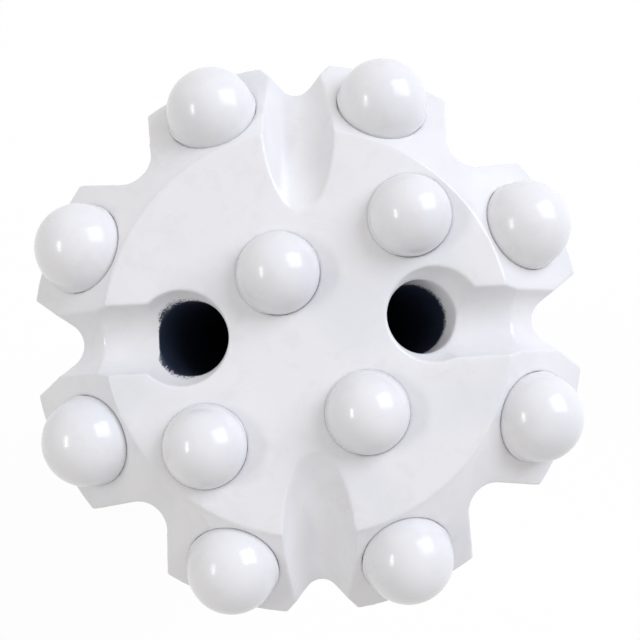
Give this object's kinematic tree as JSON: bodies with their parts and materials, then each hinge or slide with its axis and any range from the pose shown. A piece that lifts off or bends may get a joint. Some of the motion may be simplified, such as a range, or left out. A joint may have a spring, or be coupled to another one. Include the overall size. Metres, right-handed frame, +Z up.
{
  "type": "button drill bit",
  "caption": "Down-the-hole hammer button bit: splined steel shank, fluted head with flushing holes and grooves, and pressed-in domed buttons, painted white.",
  "frame": {"origin": "centre of the strike face, at the bottom of the shank", "axes": "+Z up the shank to the drilling face, +X along the flushing grooves, +Y along the run-out grooves"},
  "size_m": [0.086, 0.0866, 0.2118],
  "materials": {
    "body_paint": "glossy white enamel sprayed on steel",
    "button_paint": "glossy white enamel sprayed on carbide"
  },
  "bodies": {
    "root": {"bit_body": "body_paint", "gauge_button_1": "button_paint", "gauge_button_2": "button_paint", "gauge_button_3": "button_paint", "gauge_button_4": "button_paint", "gauge_button_5": "button_paint", "gauge_button_6": "button_paint", "gauge_button_7": "button_paint", "gauge_button_8": "button_paint", "face_button_1": "button_paint", "face_button_2": "button_paint", "face_button_3": "button_paint", "face_button_4": "button_paint"}
  },
  "joints": []
}
